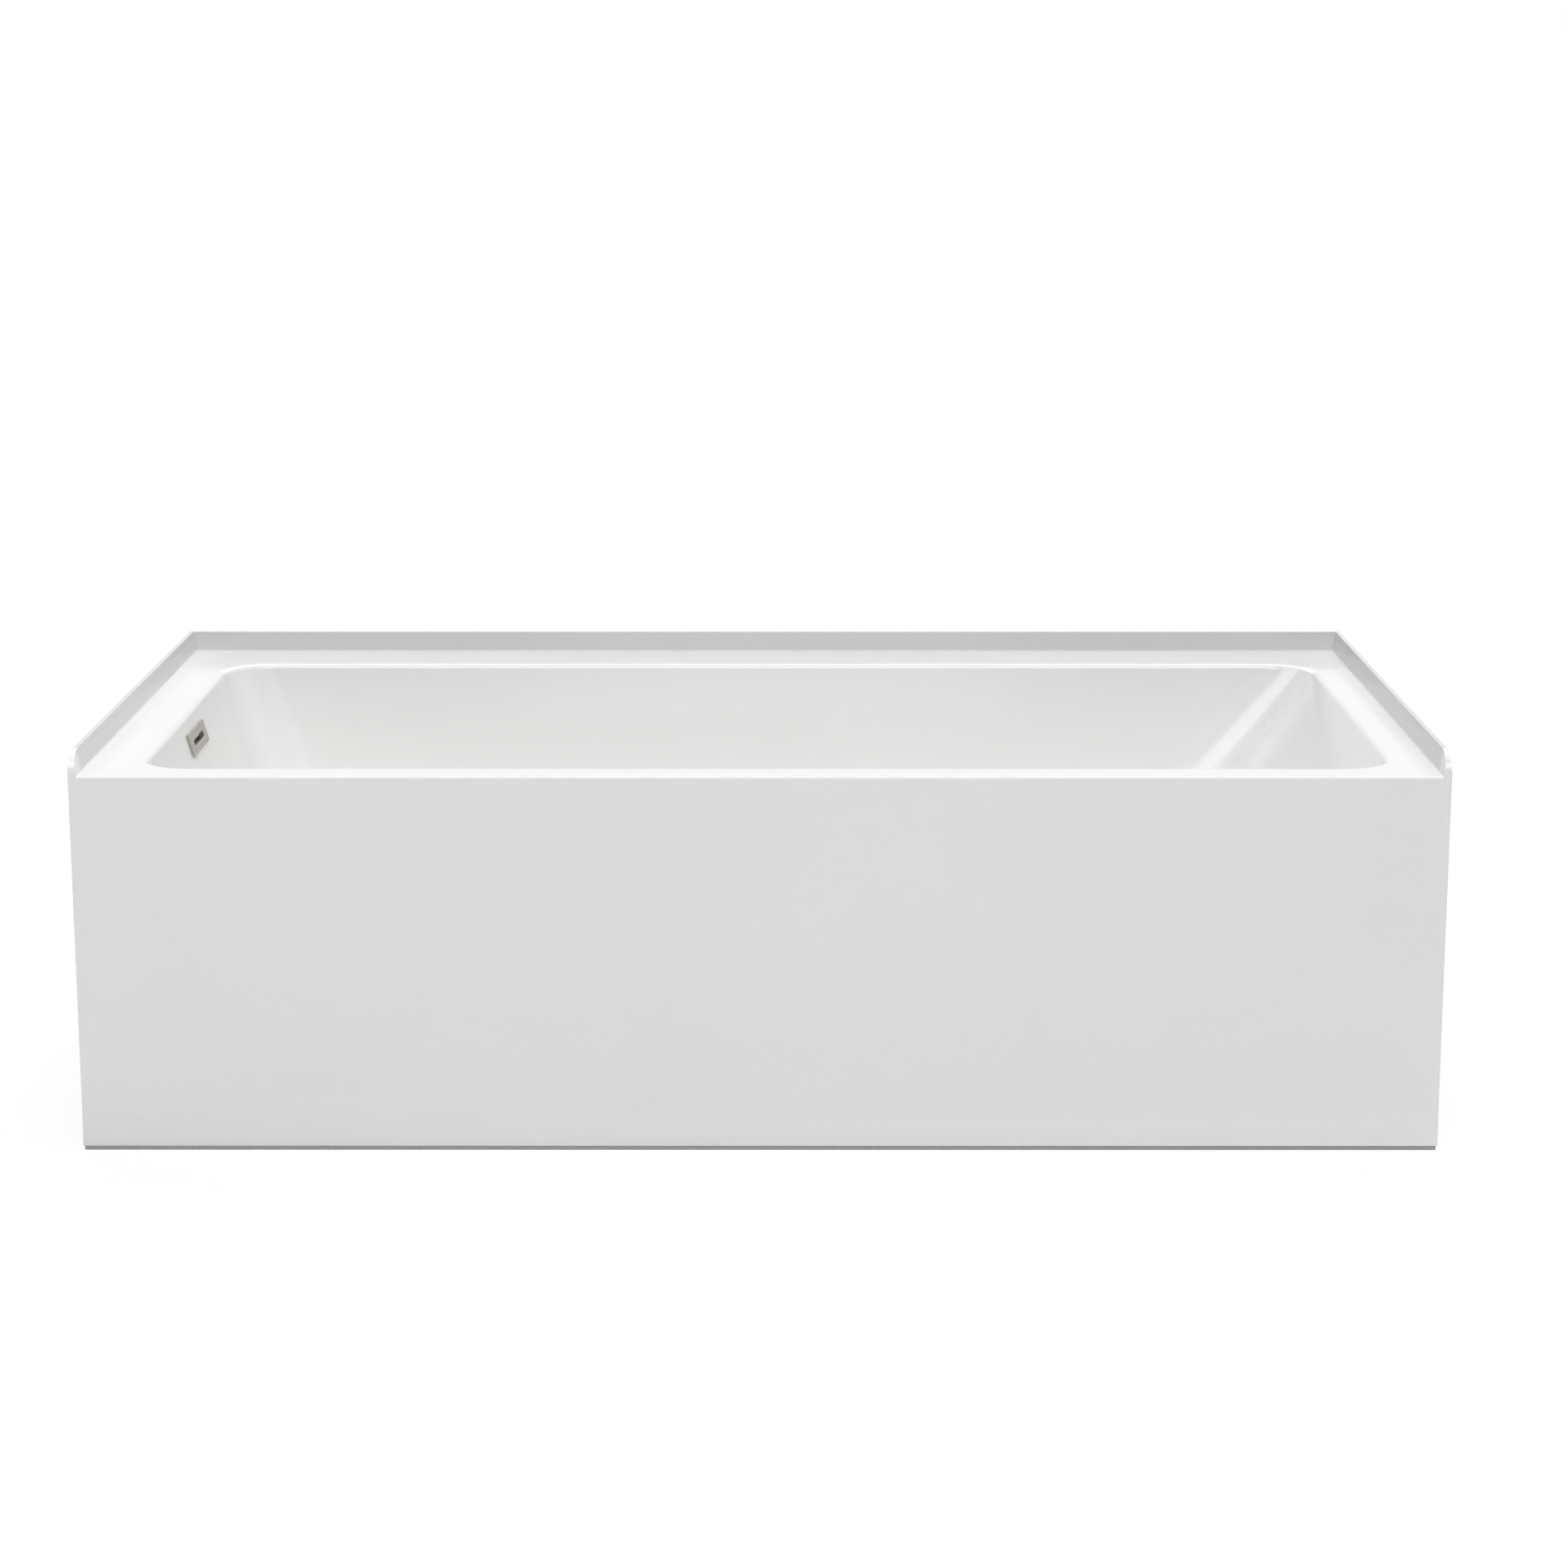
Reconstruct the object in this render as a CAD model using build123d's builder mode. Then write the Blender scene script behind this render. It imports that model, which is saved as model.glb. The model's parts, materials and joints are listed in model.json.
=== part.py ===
"""Alcove bathtub with a skirted front, a three-sided tile flange and a left-hand waste.

Millimetres, +Z up, +X towards the backrest, -Y towards the apron.
The origin is the middle of the footprint, on the floor.
"""
from build123d import *
from math import cos, radians, sin, tan
import os

os.makedirs("parts", exist_ok=True)

# Overall size
length = 1524.0
width = 816.0
deck_height = 429.0
flange_height = 25.0
deck_sheet = 5.0  # rim and apron: acrylic and its backing as one sheet
skin, laminate = 3.5, 3.5  # basin: acrylic sheet, then the fibreglass sprayed on its outside

# Outline planes
end_x = length / 2
back_y = width / 2
toe_y = -width / 2
toe_out = 3.0
face_y = toe_y + toe_out
deck_middle_y = (face_y + back_y) / 2
deck_depth = back_y - face_y

# Basin: where each wall would meet the deck plane, and how far each leans from upright
basin_left, basin_right = -691.5, 707.0
basin_front, basin_back = -356.5, 295.5
basin_middle_y = (basin_front + basin_back) / 2
drain_wall_lean = radians(16.0)
backrest_lean = radians(40.0)
side_wall_lean = radians(8.5)
rim_corner, floor_corner = 55.0, 95.0
floor_fillet = 60.0
lip_fillet = 8.0
skirt_drop = 14.0  # the rim takes in the basin's wall down to here
floor_low = 82.0  # floor surface at the drain
floor_fall = radians(0.4)
underside = floor_low - skin - laminate
coving_top = underside + 58  # above this the basin's walls are straight
end_cuts = (-500.0, 350.0)  # the laminate's end thirds
drain_x = -500.0
drain_y = basin_middle_y
drain_hole_radius = 25.5
seat_depth = 2.0  # level seat let into the sloping floor for the drain flange
seat_radius = 40.0

# Tile flange
flange_top, flange_foot = 5.0, 9.0
nose_depth = 38.0

# Apron
lip_drop = 20.0
arris = 3.0
seam_z = deck_height - lip_drop
strip_height, strip_depth = 5.0, 4.0
strip_setback = 1.0
toe_rise = 40.0
return_depth = 30.0
batten_depth, batten_width = 18.0, 40.0
batten_y = face_y + deck_sheet + batten_depth / 2
batten_length = 1490.0
top_batten_z = deck_height - deck_sheet - batten_width / 2
bottom_batten_z = 50.0
rib_count = 5
rib_spacing = 310.0

# Support frame
board_thickness = 12.0
board_left, board_right = -445.0, 378.0
board_depth = 430.0
rail_xs = (-400.0, -30.0, 340.0)
rail_width, rail_height, rail_gauge = 40.0, 22.0, 2.0
rail_front, rail_back = -352.0, 300.0
rail_top = underside - board_thickness
foot_ys = (-330.0, 276.0)
thread_radius = 5.0
thread_clearance = 0.06
nut_across_flats, nut_height = 17.0, 8.0
pad_radius, pad_height = 24.0, 6.0
boss_radius, boss_height = 11.0, 7.0
spanner_flats = 13.0
screw_top = 98.0

# Waste and overflow
tube_radius, bore_radius = 19.05, 17.55
socket_gap = 0.1
socket_depth, arm_socket_depth = 24.0, 12.0
outlet_radius, outlet_depth = 19.3, 18.0
fitting_wall = 3.5
riser_x = -727.0
trap_arm_z = 44.0
outlet_z = 6.0
overflow_z = 397.0
plate_length, plate_height, plate_thickness = 106.0, 28.0, 2.0
slot_length, slot_height = 64.0, 7.0
window_length, window_height = slot_length + 6, slot_height + 5  # hole in the wall behind the slot
gasket_thickness, seal_thickness = 0.5, 2.0
stud_spacing = 84.0
stud_radius = 2.5


def save(piece, name):
    """Labels a finished piece and writes it as one STEP file."""
    piece.part.label = name
    export_step(piece.part, f"parts/{name}.step")


def basin_section(z, grow=0.0):
    """Middle and size of the basin's outline at height z, grown outwards by a wall thickness."""
    depth = deck_height - z
    left = basin_left + depth * tan(drain_wall_lean) - grow / cos(drain_wall_lean)
    right = basin_right - depth * tan(backrest_lean) + grow / cos(backrest_lean)
    front = basin_front + depth * tan(side_wall_lean) - grow / cos(side_wall_lean)
    back = basin_back - depth * tan(side_wall_lean) + grow / cos(side_wall_lean)
    return ((left + right) / 2, (front + back) / 2), right - left, back - front


def basin_form(bottom, grow):
    """The basin as a filled form: a ruled loft between its rim and its floor outline."""
    with BuildPart() as form:
        for z, corner in ((bottom, floor_corner), (deck_height, rim_corner)):
            middle, long_side, short_side = basin_section(z, grow)
            with BuildSketch(Plane.XY.offset(z)):
                with Locations(middle):
                    RectangleRounded(long_side, short_side, corner + grow)
        loft(ruled=True)
    return form


wall = skin + laminate

# ---------------------------------------------------------------- tub shell

form_spare = 6.0  # the forms start this far below the floor, which is then cut to its fall
floor_plane = Plane(origin=(drain_x, 0, floor_low), z_dir=(-sin(floor_fall), 0, cos(floor_fall)))

cavity = basin_form(floor_low - form_spare, 0)
with cavity:
    split(bisect_by=floor_plane, keep=Keep.TOP)
    fillet(cavity.faces().sort_by(Axis.Z)[0].edges(), radius=floor_fillet)

liner_form = basin_form(floor_low - form_spare - skin, skin)
with liner_form:
    split(bisect_by=floor_plane.offset(-skin), keep=Keep.TOP)
    fillet(liner_form.faces().sort_by(Axis.Z)[0].edges(), radius=floor_fillet + skin)

outer_form = basin_form(underside, skin + laminate)
with outer_form:
    fillet(outer_form.faces().sort_by(Axis.Z)[0].edges(), radius=floor_fillet + skin + laminate)

overflow_drop = deck_height - overflow_z
overflow_x = basin_left + overflow_drop * tan(drain_wall_lean)
wall_plane = Plane(
    origin=(overflow_x, basin_middle_y, overflow_z),
    x_dir=(0, 1, 0),
    z_dir=(cos(drain_wall_lean), 0, sin(drain_wall_lean)),
)
stud_places = [(-stud_spacing / 2, 0), (stud_spacing / 2, 0)]
rim_bottom = deck_height - deck_sheet
skirt_bottom = deck_height - skirt_drop
flange_top_z = deck_height + flange_height

with BuildPart() as rim_skirt:
    add(outer_form.part)
    split(bisect_by=Plane.XY.offset(skirt_bottom), keep=Keep.TOP)

with BuildPart() as tub_rim:
    with BuildSketch(Plane.XY.offset(rim_bottom)):
        with Locations((0, deck_middle_y)):
            Rectangle(length, deck_depth)
    extrude(amount=deck_sheet + flange_height)
    # The room above the deck, flared so that the flange thins towards its top
    for z, thickness in ((deck_height, flange_foot), (flange_top_z, flange_top)):
        with BuildSketch(Plane.XY.offset(z)):
            with Locations((0, deck_middle_y - thickness)):
                Rectangle(length - 2 * thickness, deck_depth)
    loft(mode=Mode.SUBTRACT)
    # Each front end of the flange sweeps down to the apron in a rounded nose
    with BuildSketch(Plane.YZ):
        with BuildLine():
            nose = EllipticalCenterArc(
                center=(face_y + nose_depth, deck_height),
                x_radius=nose_depth,
                y_radius=flange_height,
                start_angle=90,
                arc_size=90,
            )
            Polyline(nose @ 0, (face_y, flange_top_z), nose @ 1)
        make_face()
    extrude(amount=end_x, both=True, mode=Mode.SUBTRACT)
    # The deck turns down at the front
    with BuildSketch(Plane.XY.offset(seam_z)):
        with Locations((0, face_y + deck_sheet / 2)):
            Rectangle(length, deck_sheet)
    extrude(amount=lip_drop)
    add(rim_skirt.part)
    add(cavity.part, mode=Mode.SUBTRACT)
    deck_face = (
        tub_rim.faces()
        .filter_by_position(Axis.Z, deck_height - 0.01, deck_height + 0.01)
        .sort_by(SortBy.AREA)[-1]
    )
    fillet(deck_face.inner_wires()[0].edges(), radius=lip_fillet)
    front_edge = (
        tub_rim.edges()
        .filter_by(Axis.X)
        .filter_by_position(Axis.Z, deck_height - 0.01, deck_height + 0.01)
        .sort_by(Axis.Y)[0]
    )
    fillet(front_edge, radius=arris)
save(tub_rim, "tub_rim")


# Overflow window, its two stud holes and the drain hole, as one cutting tool
with BuildPart() as fitting_holes:
    with BuildSketch(wall_plane.offset(-3 * skin)):
        Rectangle(window_length, window_height)
        with Locations(stud_places):
            Circle(stud_radius + 0.5)
    extrude(amount=5 * skin)
    with Locations((drain_x, drain_y, floor_low)):
        Cylinder(drain_hole_radius, 40)

with BuildPart() as basin_liner:
    add(liner_form.part)
    add(cavity.part, mode=Mode.SUBTRACT)
    split(bisect_by=Plane.XY.offset(skirt_bottom), keep=Keep.BOTTOM)
    add(fitting_holes.part, mode=Mode.SUBTRACT)
    # Level seat for the drain flange
    with Locations((drain_x, drain_y, floor_low - seat_depth)):
        Cylinder(seat_radius, 6, align=(Align.CENTER, Align.CENTER, Align.MIN), mode=Mode.SUBTRACT)
save(basin_liner, "basin_liner")

with BuildPart() as basin_laminate:
    add(outer_form.part)
    add(liner_form.part, mode=Mode.SUBTRACT)
    split(bisect_by=Plane.XY.offset(skirt_bottom), keep=Keep.BOTTOM)
    add(fitting_holes.part, mode=Mode.SUBTRACT)

with BuildPart() as laminate_floor:
    add(basin_laminate.part)
    split(bisect_by=Plane.XY.offset(coving_top), keep=Keep.BOTTOM)
save(laminate_floor, "laminate_floor")

with BuildPart() as laminate_walls:
    add(basin_laminate.part)
    split(bisect_by=Plane.XY.offset(coving_top), keep=Keep.TOP)

with BuildPart() as laminate_drain_end:
    add(laminate_walls.part)
    split(bisect_by=Plane.YZ.offset(end_cuts[0]), keep=Keep.BOTTOM)
save(laminate_drain_end, "laminate_drain_end")

with BuildPart() as laminate_backrest_end:
    add(laminate_walls.part)
    split(bisect_by=Plane.YZ.offset(end_cuts[1]), keep=Keep.TOP)
save(laminate_backrest_end, "laminate_backrest_end")

for name, side in (("laminate_front", Keep.TOP), ("laminate_back", Keep.BOTTOM)):
    with BuildPart() as laminate_side:
        add(laminate_walls.part)
        split(bisect_by=Plane.YZ.offset(end_cuts[0]), keep=Keep.TOP)
        split(bisect_by=Plane.YZ.offset(end_cuts[1]), keep=Keep.BOTTOM)
        split(bisect_by=Plane.XZ.offset(-basin_middle_y), keep=side)
    save(laminate_side, name)

# ---------------------------------------------------------------- apron

with BuildPart() as front_apron:
    with BuildSketch(Plane.YZ):
        with BuildLine():
            outer = Line((face_y, seam_z), (face_y, strip_height + toe_rise))
            toe = TangentArc(outer @ 1, (toe_y, strip_height), tangent=outer % 1)
            foot = Line(toe @ 1, (toe_y + deck_sheet, strip_height))
            inner_top = (face_y + deck_sheet, seam_z)
            Polyline(foot @ 1, (face_y + deck_sheet, strip_height + toe_rise), inner_top, outer @ 0)
        make_face()
    extrude(amount=end_x, both=True)
    # Side returns that stiffen the two ends
    return_height = seam_z - strip_height - toe_rise
    with Locations(
        (-end_x + deck_sheet / 2, face_y + deck_sheet + return_depth / 2, seam_z - return_height / 2),
        (end_x - deck_sheet / 2, face_y + deck_sheet + return_depth / 2, seam_z - return_height / 2),
    ):
        Box(deck_sheet, return_depth, return_height)
save(front_apron, "front_apron")

with BuildPart() as apron_base_strip:
    with Locations((0, toe_y + strip_setback + strip_depth / 2, strip_height / 2)):
        Box(length - 4, strip_depth, strip_height)
save(apron_base_strip, "apron_base_strip")

for name, z in (("apron_top_batten", top_batten_z), ("apron_bottom_batten", bottom_batten_z)):
    with BuildPart() as batten:
        with Locations((0, batten_y, z)):
            Box(batten_length, batten_depth, batten_width)
    save(batten, name)

rib_bottom = bottom_batten_z + batten_width / 2
rib_top = top_batten_z - batten_width / 2
for number in range(rib_count):
    with BuildPart() as rib:
        rib_x = (number - (rib_count - 1) / 2) * rib_spacing
        with Locations((rib_x, batten_y, (rib_bottom + rib_top) / 2)):
            Box(batten_width, batten_depth, rib_top - rib_bottom)
    save(rib, f"apron_rib_{number + 1}")

# Boards bonded under the deck at the back and at the backrest end
rim_board_gauge = 12.0
rim_board_z = deck_height - deck_sheet - rim_board_gauge / 2
back_board_depth, end_board_width = 60.0, 30.0
end_board_depth = 560.0
with BuildPart() as rim_board_back:
    with Locations((0, back_y - 8 - back_board_depth / 2, rim_board_z)):
        Box(batten_length, back_board_depth, rim_board_gauge)
save(rim_board_back, "rim_board_back")

with BuildPart() as rim_board_end:
    with Locations((end_x - 10 - end_board_width / 2, basin_middle_y, rim_board_z)):
        Box(end_board_width, end_board_depth, rim_board_gauge)
save(rim_board_end, "rim_board_end")

# ---------------------------------------------------------------- support frame

with BuildPart() as base_board:
    with Locations(((board_left + board_right) / 2, basin_middle_y, underside - board_thickness / 2)):
        Box(board_right - board_left, board_depth, board_thickness)
    fillet(base_board.edges().filter_by(Axis.Z), radius=20)
save(base_board, "base_board")

screw_radius = 2.2
rail_head_radius, rail_head_height = 4.5, 2.5
screw_reach = 150.0
screw_ys = (basin_middle_y - screw_reach, basin_middle_y + screw_reach)
rail_middle_y = (rail_front + rail_back) / 2
rail_length = rail_back - rail_front
for number, x in enumerate(rail_xs):
    with BuildPart() as rail:
        with Locations((x, rail_middle_y, rail_top - rail_height / 2)):
            Box(rail_width, rail_length, rail_height)
        with Locations((x, rail_middle_y, rail_top - rail_gauge - rail_height / 2)):
            Box(rail_width - 2 * rail_gauge, rail_length, rail_height, mode=Mode.SUBTRACT)
        with Locations(*[(x, y, rail_top) for y in foot_ys]):
            Hole(thread_radius + 0.6, depth=rail_gauge)
        with Locations(*[(x, y, rail_top) for y in screw_ys]):
            Hole(screw_radius, depth=rail_gauge)
    save(rail, f"cross_rail_{number + 1}")

with BuildPart() as rail_screws:
    with Locations(*[(x, y, rail_top - rail_gauge) for x in rail_xs for y in screw_ys]):
        Cylinder(rail_head_radius, rail_head_height, align=(Align.CENTER, Align.CENTER, Align.MAX))
save(rail_screws, "rail_screws")

foot_places = [(x, y) for x in rail_xs for y in foot_ys]
web_bottom = rail_top - rail_gauge
for name, bottom in (("weld_nuts", web_bottom - nut_height), ("lock_nuts", rail_top)):
    with BuildPart() as nuts:
        with BuildSketch(Plane.XY.offset(bottom)):
            with Locations(foot_places):
                RegularPolygon(nut_across_flats / 2, 6, major_radius=False)
                Circle(thread_radius + thread_clearance, mode=Mode.SUBTRACT)
        extrude(amount=nut_height)
    save(nuts, name)

for number, place in enumerate(foot_places):
    with BuildPart() as foot_pad:
        with BuildSketch():
            with Locations(place):
                Circle(pad_radius)
        extrude(amount=pad_height)
        fillet(foot_pad.edges().group_by(Axis.Z)[-1], radius=1.5)
        with BuildSketch(Plane.XY.offset(pad_height)):
            with Locations(place):
                Circle(boss_radius)
        extrude(amount=boss_height, taper=8)
        with Locations((*place, pad_height + boss_height)):
            Hole(thread_radius + socket_gap, depth=boss_height + 2)
    save(foot_pad, f"foot_pad_{number + 1}")
    with BuildPart() as foot_screw:
        with BuildSketch(Plane.XY.offset(pad_height - 2)):
            with Locations(place):
                Circle(thread_radius)
        extrude(amount=screw_top - pad_height + 2)
        chamfer(foot_screw.edges().group_by(Axis.Z)[-1], length=1)
        with BuildSketch(Plane.XY.offset(pad_height + boss_height + 1)):
            with Locations(place):
                RegularPolygon(spanner_flats / 2, 6, major_radius=False)
        extrude(amount=6)
    save(foot_screw, f"foot_screw_{number + 1}")

# Angles that tie the apron to the front ends of the cross rails
bracket_gauge, bracket_width, bracket_lap = 2.0, 30.0, 11.0
bracket_bottom = bottom_batten_z - 18
bracket_head_radius, bracket_head_height = 4.0, 2.5
batten_back = batten_y + batten_depth / 2
bracket_plane = Plane.YZ.offset(-bracket_width / 2)
with BuildPart() as apron_brackets:
    for x in rail_xs:
        with BuildSketch(bracket_plane.offset(x)):
            with BuildLine():
                Polyline(
                    (batten_back, web_bottom),
                    (rail_front + bracket_lap, web_bottom),
                    (rail_front + bracket_lap, web_bottom - bracket_gauge),
                    (batten_back + bracket_gauge, web_bottom - bracket_gauge),
                    (batten_back + bracket_gauge, bracket_bottom),
                    (batten_back, bracket_bottom),
                    close=True,
                )
            make_face()
        extrude(amount=bracket_width)
save(apron_brackets, "apron_brackets")

with BuildPart() as bracket_screws:
    for x in rail_xs:
        batten_head = Plane(origin=(x, batten_back + bracket_gauge, bracket_bottom + 9), z_dir=(0, 1, 0))
        rail_head = Plane(origin=(x, rail_front + 6, web_bottom - bracket_gauge), z_dir=(0, 0, -1))
        for head in (batten_head, rail_head):
            with BuildSketch(head):
                Circle(bracket_head_radius)
            extrude(amount=bracket_head_height)
save(bracket_screws, "bracket_screws")

# ---------------------------------------------------------------- overflow

plate_base = wall_plane.offset(gasket_thickness)
with BuildPart() as overflow_plate:
    with BuildSketch(plate_base):
        Rectangle(plate_length, plate_height)
    extrude(amount=plate_thickness)
    chamfer(overflow_plate.faces().sort_by(Axis.X)[-1].edges(), length=0.8)
    with BuildSketch(plate_base):
        RectangleRounded(slot_length, slot_height, 1)
    extrude(amount=plate_thickness, mode=Mode.SUBTRACT)
    with BuildSketch(plate_base):
        with Locations(stud_places):
            Circle(stud_radius)
    extrude(amount=-(gasket_thickness + wall + seal_thickness + 12))
save(overflow_plate, "overflow_plate")


def window_ring(base, outer_length, outer_height, thickness):
    """A flat ring round the overflow window, with its two stud holes."""
    with BuildPart() as ring:
        with BuildSketch(base):
            RectangleRounded(outer_length, outer_height, 3)
            Rectangle(window_length, window_height, mode=Mode.SUBTRACT)
            with Locations(stud_places):
                Circle(stud_radius + 0.1, mode=Mode.SUBTRACT)
        extrude(amount=thickness)
    return ring


save(window_ring(wall_plane, plate_length - 3, plate_height - 3, gasket_thickness), "overflow_gasket")
seal_base = wall_plane.offset(-wall - seal_thickness)
save(window_ring(seal_base, plate_length, plate_height + 6, seal_thickness), "overflow_seal")

housing_flange = 3.0
housing_reach = 62.0
housing_tail = (44.0, 34.0)
housing_cavity_tail = (34.0, 26.0)
spigot_depth = 34.0
spigot_bottom, spigot_top = 348.0, 386.0
fitting_radius = tube_radius + fitting_wall
with BuildPart() as overflow_housing:
    with BuildSketch(seal_base):
        RectangleRounded(plate_length, plate_height + 6, 3)
    extrude(amount=-housing_flange)
    with BuildSketch(seal_base.offset(-housing_flange)):
        RectangleRounded(window_length + 4, window_height + 8, 3)
    with BuildSketch(seal_base.offset(-housing_reach)):
        RectangleRounded(*housing_tail, 5)
    loft()
    with Locations((riser_x, basin_middle_y, 0)):
        with Locations((0, 0, spigot_bottom)):
            spigot_length = spigot_top - spigot_bottom
            Cylinder(fitting_radius, spigot_length, align=(Align.CENTER, Align.CENTER, Align.MIN))
    with BuildSketch(seal_base):
        Rectangle(window_length, window_height)
    with BuildSketch(seal_base.offset(-housing_reach + 6)):
        RectangleRounded(*housing_cavity_tail, 4)
    loft(mode=Mode.SUBTRACT)
    with Locations((riser_x, basin_middle_y, spigot_bottom)):
        Cylinder(
            tube_radius + socket_gap,
            spigot_depth,
            align=(Align.CENTER, Align.CENTER, Align.MIN),
            mode=Mode.SUBTRACT,
        )
    with BuildSketch(seal_base):
        with Locations(stud_places):
            Circle(stud_radius + 0.1)
    extrude(amount=-housing_flange, mode=Mode.SUBTRACT)
save(overflow_housing, "overflow_housing")

with BuildPart() as overflow_nuts:
    with BuildSketch(seal_base.offset(-housing_flange)):
        with Locations(stud_places):
            RegularPolygon(4, 6, major_radius=False)
            Circle(stud_radius + 0.05, mode=Mode.SUBTRACT)
    extrude(amount=-4)
save(overflow_nuts, "overflow_nuts")

# ---------------------------------------------------------------- waste pipework

tee_bottom, tee_top = outlet_z, 92.0
nut_radius, nut_length = 28.0, 16.0
nut_rib_radius, nut_rib_count = 2.4, 12
riser = Plane(origin=(riser_x, basin_middle_y, 0))
riser_down = Plane(origin=(riser_x, basin_middle_y, 0), z_dir=(0, 0, -1))
arm_start = riser_x + 36
shoe_outlet = drain_x - 52
nut_lap = 4.0  # each nut stands this far past the end of its socket


def slip_nut(axis_plane, start):
    """A ribbed slip nut round a tube, from start along the plane's Z axis."""
    with BuildPart() as nut:
        with BuildSketch(axis_plane.offset(start)):
            Circle(nut_radius - 2)
            with PolarLocations(nut_radius - 2, nut_rib_count):
                Circle(nut_rib_radius)
            Circle(tube_radius + socket_gap, mode=Mode.SUBTRACT)
        extrude(amount=nut_length)
        with BuildSketch(axis_plane.offset(start)):
            Circle(fitting_radius + socket_gap)
        extrude(amount=nut_length - nut_lap, mode=Mode.SUBTRACT)
    return nut


with BuildPart() as overflow_pipe:
    with BuildSketch(riser.offset(tee_top - socket_depth)):
        Circle(tube_radius)
        Circle(bore_radius, mode=Mode.SUBTRACT)
    extrude(amount=spigot_bottom + 30 - tee_top + socket_depth)
save(overflow_pipe, "overflow_pipe")

arm_plane = Plane(origin=(riser_x, basin_middle_y, trap_arm_z), z_dir=(1, 0, 0))
arm_length = arm_start - riser_x
with BuildPart() as waste_tee:
    with BuildSketch(riser.offset(tee_bottom)):
        Circle(fitting_radius)
    extrude(amount=tee_top - tee_bottom)
    with BuildSketch(arm_plane):
        Circle(fitting_radius)
    extrude(amount=arm_length)
    # Inner bores, then the sockets that stop each tube on a shoulder
    with BuildSketch(riser.offset(tee_bottom)):
        Circle(bore_radius)
    extrude(amount=tee_top - tee_bottom, mode=Mode.SUBTRACT)
    with BuildSketch(arm_plane):
        Circle(bore_radius)
    extrude(amount=arm_length, mode=Mode.SUBTRACT)
    with BuildSketch(riser.offset(tee_top - socket_depth)):
        Circle(tube_radius + socket_gap)
    extrude(amount=socket_depth, mode=Mode.SUBTRACT)
    with BuildSketch(arm_plane.offset(arm_length - arm_socket_depth)):
        Circle(tube_radius + socket_gap)
    extrude(amount=arm_socket_depth, mode=Mode.SUBTRACT)
    with BuildSketch(riser.offset(tee_bottom)):
        Circle(outlet_radius)
    extrude(amount=outlet_depth, mode=Mode.SUBTRACT)
save(waste_tee, "waste_tee")

with BuildPart() as waste_pipe:
    with BuildSketch(arm_plane.offset(arm_length - arm_socket_depth)):
        Circle(tube_radius)
        Circle(bore_radius, mode=Mode.SUBTRACT)
    extrude(amount=shoe_outlet + 20 - arm_start + arm_socket_depth)
save(waste_pipe, "waste_pipe")

shoe_axis = Plane(origin=(drain_x, drain_y, trap_arm_z), z_dir=(-1, 0, 0))
shoe_bottom, shoe_top = 20.0, underside - 4
shank_radius = 22.0
washer_radius, shoe_lip_radius = 33.0, 34.0
with BuildPart() as drain_shoe:
    with Locations((drain_x, drain_y, shoe_bottom)):
        Cylinder(shank_radius + 4, shoe_top - shoe_bottom, align=(Align.CENTER, Align.CENTER, Align.MIN))
    with Locations((drain_x, drain_y, shoe_top)):
        Cylinder(shoe_lip_radius, 4, align=(Align.CENTER, Align.CENTER, Align.MAX))
    with BuildSketch(shoe_axis):
        Circle(fitting_radius)
    extrude(amount=drain_x - shoe_outlet)
    with Locations((drain_x, drain_y, shoe_bottom + 4)):
        Cylinder(
            shank_radius + socket_gap,
            shoe_top - shoe_bottom,
            align=(Align.CENTER, Align.CENTER, Align.MIN),
            mode=Mode.SUBTRACT,
        )
    with BuildSketch(shoe_axis):
        Circle(tube_radius + socket_gap)
    extrude(amount=drain_x - shoe_outlet, mode=Mode.SUBTRACT)
    fillet(drain_shoe.faces().sort_by(Axis.Z)[0].outer_wire().edges(), radius=4)
save(drain_shoe, "drain_shoe")

save(slip_nut(riser_down, -(spigot_bottom + nut_length - nut_lap)), "overflow_slip_nut")
save(slip_nut(riser, tee_top - nut_length + nut_lap), "tee_top_nut")
save(slip_nut(arm_plane, arm_length - nut_length + nut_lap), "tee_arm_nut")
save(slip_nut(shoe_axis, drain_x - shoe_outlet - nut_length + nut_lap), "shoe_nut")

# ---------------------------------------------------------------- drain and stopper

flange_radius, flange_edge = 36.0, 3.0
throat_radius = 18.5
seat_z = floor_low - seat_depth
rubber = 1.5
bar_thickness, bar_width = 4.0, 4.0
hub_radius, bush_radius = 7.0, 4.0
bush_gap = 0.1
stem_radius, stem_bore = 2.95, 3.0
cap_radius, cap_thickness, cap_edge = 27.0, 4.0, 3.0
collar_radius, collar_height = 13.0, 3.0
stopper_seal_radius = 25.0
drain = Plane(origin=(drain_x, drain_y, 0))


def ring(outer, inner, bottom, top):
    """A flat ring about the drain's axis."""
    with BuildPart() as made:
        with BuildSketch(drain.offset(bottom)):
            Circle(outer)
            Circle(inner, mode=Mode.SUBTRACT)
        extrude(amount=top - bottom)
    return made


save(ring(washer_radius, shank_radius + 1, shoe_top, underside), "drain_shoe_washer")
save(ring(flange_radius - 2, shank_radius + 1, seat_z, seat_z + rubber), "drain_flange_seal")

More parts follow.
